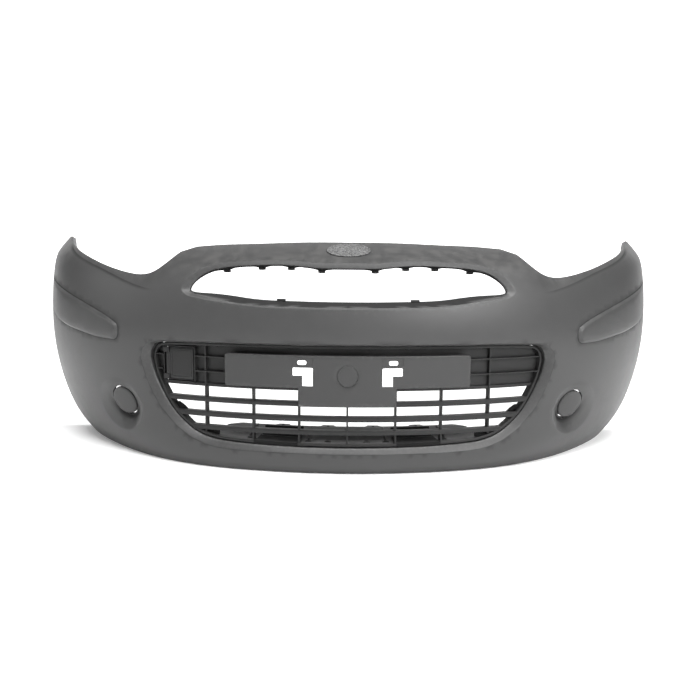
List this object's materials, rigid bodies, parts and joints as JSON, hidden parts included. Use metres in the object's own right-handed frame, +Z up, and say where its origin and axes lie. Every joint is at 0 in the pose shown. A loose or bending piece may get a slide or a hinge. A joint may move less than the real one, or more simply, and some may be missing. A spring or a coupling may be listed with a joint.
{
  "type": "front bumper cover",
  "caption": "Moulded front bumper cover with wide upper grille opening, curved lower grille, plate pad, fog-lamp blanks and hinged tow-eye lid.",
  "frame": {"origin": "on the ground under the middle of the cover's bounding box", "axes": "+X to the car's left, +Y rearward, +Z up; the front faces -Y"},
  "size_m": [1.6152, 0.5709, 0.509],
  "materials": {
    "satin_shell": "satin moulded polypropylene, unpainted dark grey",
    "matt_black": "fine-grained matt black",
    "satin_pad": "satin moulded dark grey",
    "satin_blank": "satin moulded dark grey",
    "stippled_badge": "coarse stipple, dark grey",
    "matt_grey": "matt dark grey",
    "steel": "zinc plated"
  },
  "bodies": {
    "cover": {"bumper_cover": "satin_shell", "lower_grille": "matt_black", "plate_bracket": "satin_pad", "lid_hinge_pin": "steel", "fog_blank_left": "satin_blank", "fog_blank_right": "satin_blank", "badge_plate": "stippled_badge", "lower_stiffener": "matt_grey", "shelf_rivet_1": "matt_black", "shelf_rivet_2": "matt_black", "shelf_rivet_3": "matt_black", "shelf_rivet_4": "matt_black", "shelf_rivet_5": "matt_black", "shelf_rivet_6": "matt_black", "grille_screw_1": "steel", "grille_screw_2": "steel", "grille_screw_3": "steel", "grille_screw_4": "steel", "bracket_screw_1": "steel", "bracket_screw_2": "steel", "bracket_screw_3": "steel", "bracket_screw_4": "steel"},
    "lid": {"tow_eye_lid": "matt_black"}
  },
  "joints": [
    {"name": "tow_lid_hinge", "type": "hinge", "parent": "cover", "child": "lid", "pos_m": [-0.40043, -0.17678, 0.22825], "axis": [0, 0, -1], "range_deg": [0, 100]}
  ]
}
